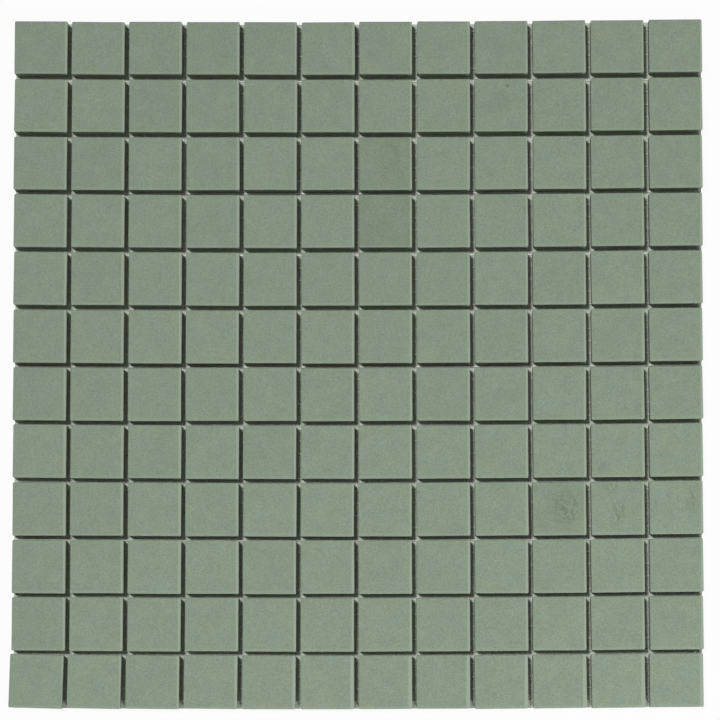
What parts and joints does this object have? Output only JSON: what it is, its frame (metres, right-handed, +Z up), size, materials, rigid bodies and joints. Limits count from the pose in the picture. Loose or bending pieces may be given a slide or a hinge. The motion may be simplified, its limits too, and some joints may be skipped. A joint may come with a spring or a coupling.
{
  "type": "mosaic tile sheet",
  "caption": "Square sheet of small sage-green unglazed porcelain tiles in a regular grid, bonded face up to an openwork glass-fibre backing mesh.",
  "frame": {"origin": "middle of the sheet, on the underside of the backing mesh, where the sheet rests", "axes": "+X runs along the rows, to the right in the picture; +Y runs across the rows, to the top of the picture; +Z points up, out of the tile faces"},
  "size_m": [0.3003, 0.2988, 0.0084],
  "materials": {
    "tile": "matt unglazed porcelain, muted sage green with a fine darker speckle",
    "mesh": "off-white glass-fibre yarn in a matt resin coat"
  },
  "bodies": {
    "root": {"tile_row_01": "tile", "tile_row_02": "tile", "tile_row_03": "tile", "tile_row_04": "tile", "tile_row_05": "tile", "tile_row_06": "tile", "tile_row_07": "tile", "tile_row_08": "tile", "tile_row_09": "tile", "tile_row_10": "tile", "tile_row_11": "tile", "tile_row_12": "tile", "backing_mesh_1_1": "mesh", "backing_mesh_1_2": "mesh", "backing_mesh_1_3": "mesh", "backing_mesh_2_1": "mesh", "backing_mesh_2_2": "mesh", "backing_mesh_2_3": "mesh", "backing_mesh_3_1": "mesh", "backing_mesh_3_2": "mesh", "backing_mesh_3_3": "mesh"}
  },
  "joints": []
}
